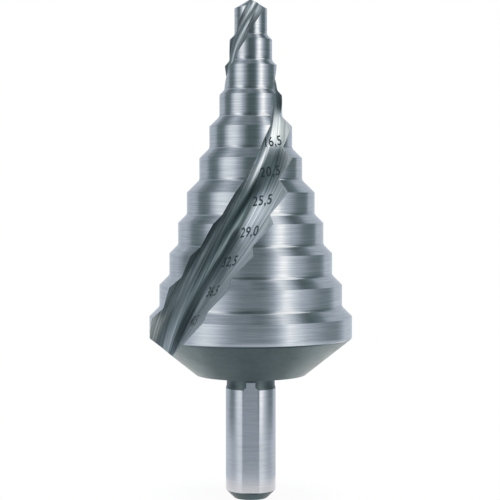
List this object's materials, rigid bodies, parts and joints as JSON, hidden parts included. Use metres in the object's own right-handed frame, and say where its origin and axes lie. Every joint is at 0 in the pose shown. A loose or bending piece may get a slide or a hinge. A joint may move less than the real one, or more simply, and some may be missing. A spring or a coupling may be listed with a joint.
{
  "type": "step drill",
  "caption": "Conical step drill with spiral flutes that cuts stepped hole sizes in sheet, on a round shank with chuck flats.",
  "frame": {"origin": "centre of the flat end face of the shank", "axes": "+Z along the drill's axis towards its point, -Y towards one of the shank flats"},
  "size_m": [0.0406, 0.0404, 0.0996],
  "materials": {
    "ground_steel": "ground bright high-speed steel"
  },
  "bodies": {
    "root": {"step_drill": "ground_steel"}
  },
  "joints": []
}
